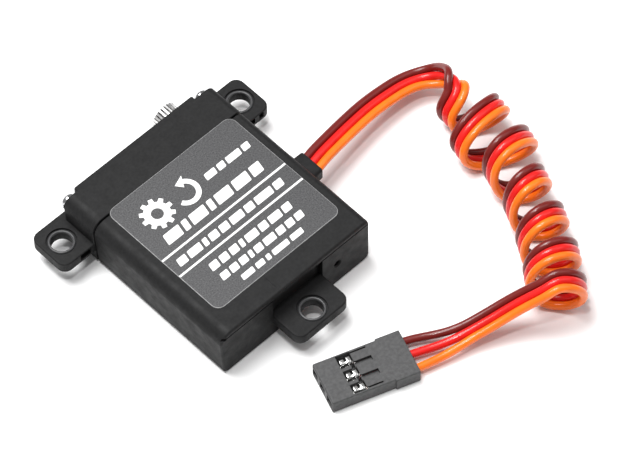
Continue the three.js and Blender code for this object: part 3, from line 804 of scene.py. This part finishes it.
def make_main_case(plastic, bead_sheen_look):
    shell = slab(case_outline(), 0, SEAM, "y", *EDGES["main_case"])
    boss_start = SEAM - SCREW["boss_depth"]
    hole_centre = (EAR["end_x"], EAR["end_hole"])
    cuts = [hollow(END_WALL, SEAM + PAST, boss_start)]
    cuts += end_face_cuts()
    cuts += [mould_line(), lead_slot(), pot_hole(), ear_hole(*hole_centre)]
    cuts += screw_holes(boss_start + PAST, SEAM + PAST)
    shape = carved(joined(shell, end_ear()), *cuts)
    piece = made("main_case_shell", shape, plastic, nodes=["main_case"])
    finish_beads(piece, bead_sheen_look, [hole_centre])


def side_ear(side):
    inner = side * (RIGHT - 1)
    outer = side * EAR_REACH
    corner = EAR["corner"]
    radii = [corner, 0, 0, corner] if side < 0 else [0, corner, corner, 0]
    return ear_slab(rounded(min(inner, outer), max(inner, outer), GEAR_START, gear_high.y, radii))


def ear_cuts(side):
    cuts = [ear_hole(side * EAR["hole_x"], EAR["hole_y"])]
    for start, end, depth in EAR_NOTCHES[side]:
        x0, x1 = sorted((side * start, side * end))
        cuts.append(block(x0, x1, GEAR_START - PAST, GEAR_START + depth, *NOTCH_HEIGHT))
    return cuts


def bearing_seat():
    """The front bearing's bore, and the flared hole in the lip that keeps the bearing in."""
    lip, end = BEARING["lip"], BLOCK["end"]
    bore = rod(BEARING["radius"], BLOCK["roof"] - PAST, BEARING["end"], OUTPUT_X, MID,
               segments=ROUND_SEGMENTS)
    profile = [(lip, BLOCK["roof"]), (lip, end - BEARING["flare_depth"]),
               (lip + BEARING["flare"], end + BEARING["past"])]
    return [bore, turned(profile, OUTPUT_X, MID, segments=ROUND_SEGMENTS)]


def make_gear_case(plastic, bead_sheen_look):
    shell = slab(case_outline(CASE["proud"]), GEAR_START, SHOULDER, "y", *EDGES["gear_case"])
    raised = slab(rounded(BLOCK["left"], BLOCK["right"], 0, TOP, BLOCK["corner"]), GEAR_START + 1,
                  BLOCK["end"], "y", *EDGES["block"])
    cuts = [hollow(SEAM - PAST, BLOCK["roof"], SEAM - 2 * PAST)]
    cuts += ear_cuts(-1) + ear_cuts(1) + bearing_seat()
    cuts += [rod(PIN_HOLE["radius"], BLOCK["roof"] - PAST, PIN_HOLE["end"], x, MID) for x in PINS_X]
    cuts += screw_holes(SEAM, BLOCK["end"] + PAST)
    cuts += [rod(SCREW["head"] + FIT, SHOULDER, gear_high.y + PAST, x, z) for x, z in screw_places()]
    shape = carved(joined(shell, raised, side_ear(-1), side_ear(1)), *cuts)
    piece = made("gear_case_shell", shape, plastic, nodes=["gear_case"])
    finish_beads(piece, bead_sheen_look, [(side * EAR["hole_x"], EAR["hole_y"]) for side in (-1, 1)])


def screw_profile(seat):
    """A screw with its domed head resting on the seat, as (radius, height) pairs from its point."""
    shank, head, edge = SCREW["shank"], SCREW["head"], SCREW["rim_edge"]
    end = seat - SCREW["length"]
    profile = [(SCREW["point"], end), (shank, end + SCREW["taper"]), (shank, seat),
               (head - edge, seat), (head, seat + edge)]
    for i in range(SCREW["dome_steps"] + 1):
        angle = i / SCREW["dome_steps"] * QUARTER
        profile.append((max(head * math.cos(angle), SCREW["point"]),
                        seat + SCREW["rim"] + (SCREW["dome"] - SCREW["rim"]) * math.sin(angle)))
    return profile


def make_screws(material):
    seat = SHOULDER + SCREW["lift"]
    profile = screw_profile(seat)
    half, reach, floor = SCREW["slot"] / 2, SCREW["reach"], seat + SCREW["floor"]
    for number, (x, z) in enumerate(screw_places(), 1):
        cross = [block(x - a, x + a, floor, seat + 2 * PAST, z - b, z + b)
                 for a, b in ((half, reach), (reach, half))]
        made(f"screw_{number}", carved(turned(profile, x, z), *cross), material,
             nodes=[f"case_screw_{number}"])


# ---------- label ----------
def make_label(face_look, edge_look):
    outline = rounded(label_low.x, label_high.x, label_low.y, label_high.y, LABEL_CORNER)
    sheet = slab(outline, label_low.z, label_high.z, "z", *EDGES["label"])
    piece = made("label_film", sheet, face_look, nodes=["label_sticker"])
    piece.data.materials.append(edge_look)
    for face in piece.data.polygons:
        face.material_index = int(face.normal.z < LEVEL)


def mark(outline):
    return slab(outline, label_high.z, label_high.z + PRINT_HEIGHT)


def leaning_bar(left, right, low, high):
    """A solid bar that leans forward, rounded at its corners."""
    shift = BAR["lean"] * (high - low)
    corner = min(BAR["corner"], (high - low) * BAR["corner_share"])
    outline = rounded(left, right, low, high, corner)
    return mark([(x + shift * (y - low) / (high - low), y) for x, y in outline])


def bar_row(left, right, low, high, shares, gap):
    """A row of bars whose widths follow the shares, which fills the given span."""
    room = right - left - gap * (len(shares) - 1)
    at = left
    bars = []
    for share in shares:
        width = room * share / sum(shares)
        bars.append(leaning_bar(at, at + width, low, high))
        at += width + gap
    return bars


def wheel_mark(x, y, outer, root, hole, teeth):
    """A gear wheel as a ring of teeth round a hole, each tooth narrower at its tip than at its root."""
    flanks = ((root, -0.32), (outer, -0.2), (outer, 0.2), (root, 0.32))
    outline = []
    for tooth in range(teeth):
        for radius, share in flanks:
            angle = (tooth + share) / teeth * 2 * math.pi
            outline.append((x + radius * math.cos(angle), y + radius * math.sin(angle)))
    return carved(mark(outline), rod(hole, label_high.z - PAST, label_high.z + PAST, x, y, "z"))


def turn_mark(x, y, radius, half_width):
    """A curved arrow that stands for rotation."""
    start, end, tip = math.radians(-150), math.radians(60), math.radians(102)
    half_head = 2.6 * half_width
    steps = 24
    band = arc(x, y, radius + half_width, start, end, steps)
    band += arc(x, y, radius - half_width, end, start, steps)
    head = [(radius - half_head, end), (radius + half_head, end), (radius, tip)]
    arrow = [(x + r * math.cos(turn), y + r * math.sin(turn)) for r, turn in head]
    return joined(mark(band), mark(arrow))


def rule_mark(y):
    margin, half = RULES["margin"], RULES["half"]
    return mark(rounded(label_low.x + margin, label_high.x - margin, y - half, y + half, 0))


def make_print(ink):
    marks = [wheel_mark(**GEAR_WHEEL), turn_mark(**TURN_ARROW)]
    for row in BAR_ROWS:
        marks += bar_row(*row)
    marks += [rule_mark(y) for y in RULES["ys"]]
    whole = bmesh.new()
    for shape in marks:
        mesh = bpy.data.meshes.new("mark")
        shape.to_mesh(mesh)
        shape.free()
        whole.from_mesh(mesh)
    made("label_print", whole, ink)


# ---------- output shaft ----------
def toothed_ring(height, tip, root):
    """A ring of the spline: flat tips, flat roots and straight flanks, eight points to a tooth."""
    shares = ((-0.5, 0), (-0.42, 0), (-0.31, 0.6), (-0.2, 1), (0, 1), (0.2, 1), (0.31, 0.6), (0.42, 0))
    ring = []
    for tooth in range(SPLINE["teeth"]):
        for share, rise in shares:
            radius = root + (tip - root) * rise
            angle = (tooth + share) / SPLINE["teeth"] * 2 * math.pi
            ring.append((OUTPUT_X + radius * math.cos(angle), height, MID + radius * math.sin(angle)))
    return ring


def make_shaft(steel):
    end = shaft_high.y
    tip, root, chamfer = SPLINE["tip"], SPLINE["root"], SPLINE["chamfer"]
    hole = HORN_HOLE["radius"]
    plain = [(SHAFT_TAIL, shaft_low.y), *SHAFT_STEPS]
    inside = [(hole + HORN_HOLE["flare"], end), (hole, end - HORN_HOLE["flare"]),
              (hole, end - HORN_HOLE["depth"])]
    rings = [toothed_ring(height, radius, radius) for radius, height in plain]
    rings.append(toothed_ring(SPLINE["start"] + SPLINE["lead_in"], tip, root))
    rings.append(toothed_ring(end - chamfer, tip, root))
    rings.append(toothed_ring(end, tip - chamfer, root - chamfer / 2))
    rings += [toothed_ring(height, radius, radius) for radius, height in inside]
    made("splined_shaft", loft(rings), steel, "output", ["output_shaft"])


# ---------- grommet ----------
def grommet_neck(grow):
    half_y, half_z, _ = GROMMET["neck"]
    y, z = GROMMET["y"], GROMMET["z"]
    return y - half_y - grow, y + half_y + grow, z - half_z - grow, z + half_z + grow


def grommet_ring(x, half_y, half_z, corner):
    y, z = GROMMET["y"], GROMMET["z"]
    outline = rounded(y - half_y, y + half_y, z - half_z, z + half_z, corner)
    return [(x, a, b) for a, b in outline]


def shrunk(section, depth):
    half_y, half_z, corner = section
    return half_y - depth, half_z - depth, max(corner - depth, 0.1)


def make_grommet(rubber):
    """The boot from its inner end through the wall to its tip, and back in for the mouth."""
    neck, collar, sleeve, mouth = (GROMMET[part] for part in ("neck", "collar", "sleeve", "mouth"))
    wall = RIGHT + 0.02
    flange = GROMMET["flange"]
    inner, tip = grommet_low.x, grommet_high.x
    stations = [
        (inner, shrunk(neck, 0.15)), (inner + 0.15, neck), (wall, neck),
        (wall, shrunk(collar, 0.1)), (wall + 0.1, collar), (flange - 0.18, collar),
        (flange - 0.05, shrunk(collar, 0.06)), (flange, shrunk(collar, 0.2)), (flange + 0.02, sleeve),
        (tip - 0.3, shrunk(sleeve, 0.02)), (tip - 0.08, shrunk(sleeve, 0.08)), (tip, shrunk(sleeve, 0.2)),
        (tip - 0.05, mouth), (tip - GROMMET["mouth_depth"], mouth),
    ]
    shape = loft([grommet_ring(x, *section) for x, section in stations])
    made("grommet_boot", shape, rubber, nodes=["cable_grommet"])


# ---------- plug ----------
def plug_place():
    lying = Matrix.Translation((PLUG["x"], PLUG["y"], PLUG["z"])) @ Matrix.Rotation(PLUG["turn"], 4, "Z")
    return lying @ Matrix.Translation((-PLUG["length"] / 2, 0, 0))


def plug_part(low_x, high_x, half, edges):
    """A length of the housing, lying along X."""
    return slab(rounded(-half, half, 0, PLUG["height"], PLUG["corner"]), low_x, high_x, "x", *edges)


def opening_cuts():
    """The shallow opening over the contacts, and the step below its rear edge."""
    start, end, step = WINDOW["start"], WINDOW["end"], WINDOW["step"]
    side = PLUG["half"] - WINDOW["margin"]
    top = PLUG["height"] + PAST
    return [block(start, end, -side, side, PLUG["height"] - WINDOW["depth"], top),
            block(end - step, end, -side, side, WINDOW["step_floor"], top)]


def channel_cuts(slot):
    """One contact's channel along the housing, and its window up to the opening."""
    y, half = slot * PLUG["pitch"], PLUG["channel"]
    wide = half + WINDOW["wider"]
    return [block(-PAST, PLUG["length"] + PAST, y - half, y + half, PLUG["floor"], PLUG["roof"]),
            block(WINDOW["start"], WINDOW["end"], y - wide, y + wide,
                  PLUG["floor"] + WINDOW["above_floor"], PLUG["height"] + PAST)]


def recess_cut(recess, y):
    """A recess in the housing's top, from the opening's rear edge towards the wires."""
    return block(WINDOW["end"] - RECESS["overlap"], recess["end"], y - recess["half"],
                 y + recess["half"], PLUG["height"] - recess["depth"], PLUG["height"] + PAST)


def make_housing(plastic):
    rear = PLUG["rear"]
    front = plug_part(0, rear + PLUG["overlap"], PLUG["half"], EDGES["plug_front"])
    back = plug_part(rear, PLUG["length"], PLUG["rear_half"], EDGES["plug_back"])
    cuts = opening_cuts()
    for slot in SLOTS:
        cuts += channel_cuts(slot)
    for side in (-1, 1):
        cuts.append(recess_cut(RECESS, side * PLUG["pitch"] / 2))
        cuts.append(recess_cut(OUTER_RECESS, side * (PLUG["half"] - OUTER_RECESS["inset"])))
    return made("plug_housing", carved(joined(front, back), *cuts), plastic,
                nodes=["connector_housing"], move=plug_place())


def make_contact(number, slot, material):
    """A crimped socket: a square tube, then a wire crimp and an insulation crimp on one strip."""
    y = slot * PLUG["pitch"]
    parts = [slab(rounded(y - half, y + half, low, high, corner), start, end, "x", edge, edge)
             for half, low, high, corner, start, end, edge in CONTACT_PARTS]
    cuts = [block(start, end, y - half, y + half, low, high)
            for half, low, high, start, end in CONTACT_CUTS]
    return made(f"socket_{number}", carved(joined(*parts), *cuts), material,
                nodes=[f"contact_{number}"], move=plug_place())


# ---------- inside the case ----------
def inside_looks():
    """The material of each kind of CAD node that stays, by the start of its name."""
    steel = metal("bright_steel", (0.6, 0.6, 0.61), 0.18, 0.34)
    brass = metal("gear_brass", (0.7, 0.5, 0.2), 0.22, 0.38)
    aluminium = metal("turned_aluminium", (0.68, 0.69, 0.7), 0.28, 0.45)
    copper = metal("enamelled_copper", (0.62, 0.24, 0.1), 0.25, 0.45, scratch=0.15, depth=0.02)
    chip = moulded("chip_epoxy", (0.02, 0.02, 0.022), 0.1, 0.005)
    track = moulded("track_resin", (0.05, 0.025, 0.015), 0.2, 0.008, low=0.4, high=0.6)
    ceramic = moulded("fired_ceramic", (0.25, 0.14, 0.07), 0.2, 0.006, low=0.4, high=0.6)
    black = moulded("inner_plastic", (0.02, 0.02, 0.021))
    return {
        "gear_plate": aluminium, "axle_pin": steel, "compound_gear": brass, "output_gear": steel,
        "front_bearing": steel, "rear_bearing": steel, "pot_body": aluminium, "pot_track": track,
        "pot_rotor": black, "motor_can": aluminium, "motor_end_cap": black, "motor_magnet": steel,
        "motor_bush": brass, "motor_winding": copper, "motor_shaft": steel, "motor_pinion": brass,
        "circuit_board": board_material(), "control_chip": chip, "driver_chip": chip,
        "capacitor": ceramic, "resonator": aluminium,
    }


def finish_inside():
    """Gives every CAD node that stays its own procedural material."""
    looks = inside_looks()
    for name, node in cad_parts.items():
        for start, material in looks.items():
            if name.startswith(start):
                node.data.materials.clear()
                node.data.materials.append(material)


def make_floor():
    shape = bmesh.new()
    bmesh.ops.create_grid(shape, x_segments=1, y_segments=1, size=FLOOR["half"])
    mesh = bpy.data.meshes.new("floor")
    shape.to_mesh(mesh)
    shape.free()
    mesh.materials.append(shader("floor_paper", FLOOR["color"], 0.9, specular=0.1))
    floor = bpy.data.objects.new("floor", mesh)
    floor.location.z = -FLOOR["below"] * MM
    bpy.context.scene.collection.objects.link(floor)


# ---------- the scene ----------
make_camera()
housing = make_housing(moulded("plug_nylon", (0.062, 0.062, 0.063), 0.2, 0.008, low=0.45, high=0.6))
tin = metal("tinned_contact", (0.8, 0.8, 0.79), 0.12, 0.25)
sockets = [make_contact(number, slot, tin) for number, slot in enumerate(SLOTS, 1)]
make_lead(sockets)

case_plastic = moulded("case_nylon", (0.011, 0.011, 0.0113), specular=0.17)
# The beads' nylon is smoother than the case's. Its paler colour is a painted sheen.
bead_sheen_plastic = moulded("bead_nylon_painted_sheen", (0.05, 0.05, 0.052), 0.3, 0.004, low=0.32, high=0.42, specular=0.5)
make_main_case(case_plastic, bead_sheen_plastic)
make_gear_case(case_plastic, bead_sheen_plastic)
make_screws(metal("chrome", (0.55, 0.55, 0.56), 0.1, 0.2, scratch=0.4, depth=0.001))
make_label(foil_material(), moulded("label_cut_edge", (0.3, 0.3, 0.3), 0.1, 0.004, low=0.4, high=0.5))
make_print(ink_material())
make_shaft(spline_material())
make_grommet(rubber_material())
finish_inside()
make_floor()
make_studio()
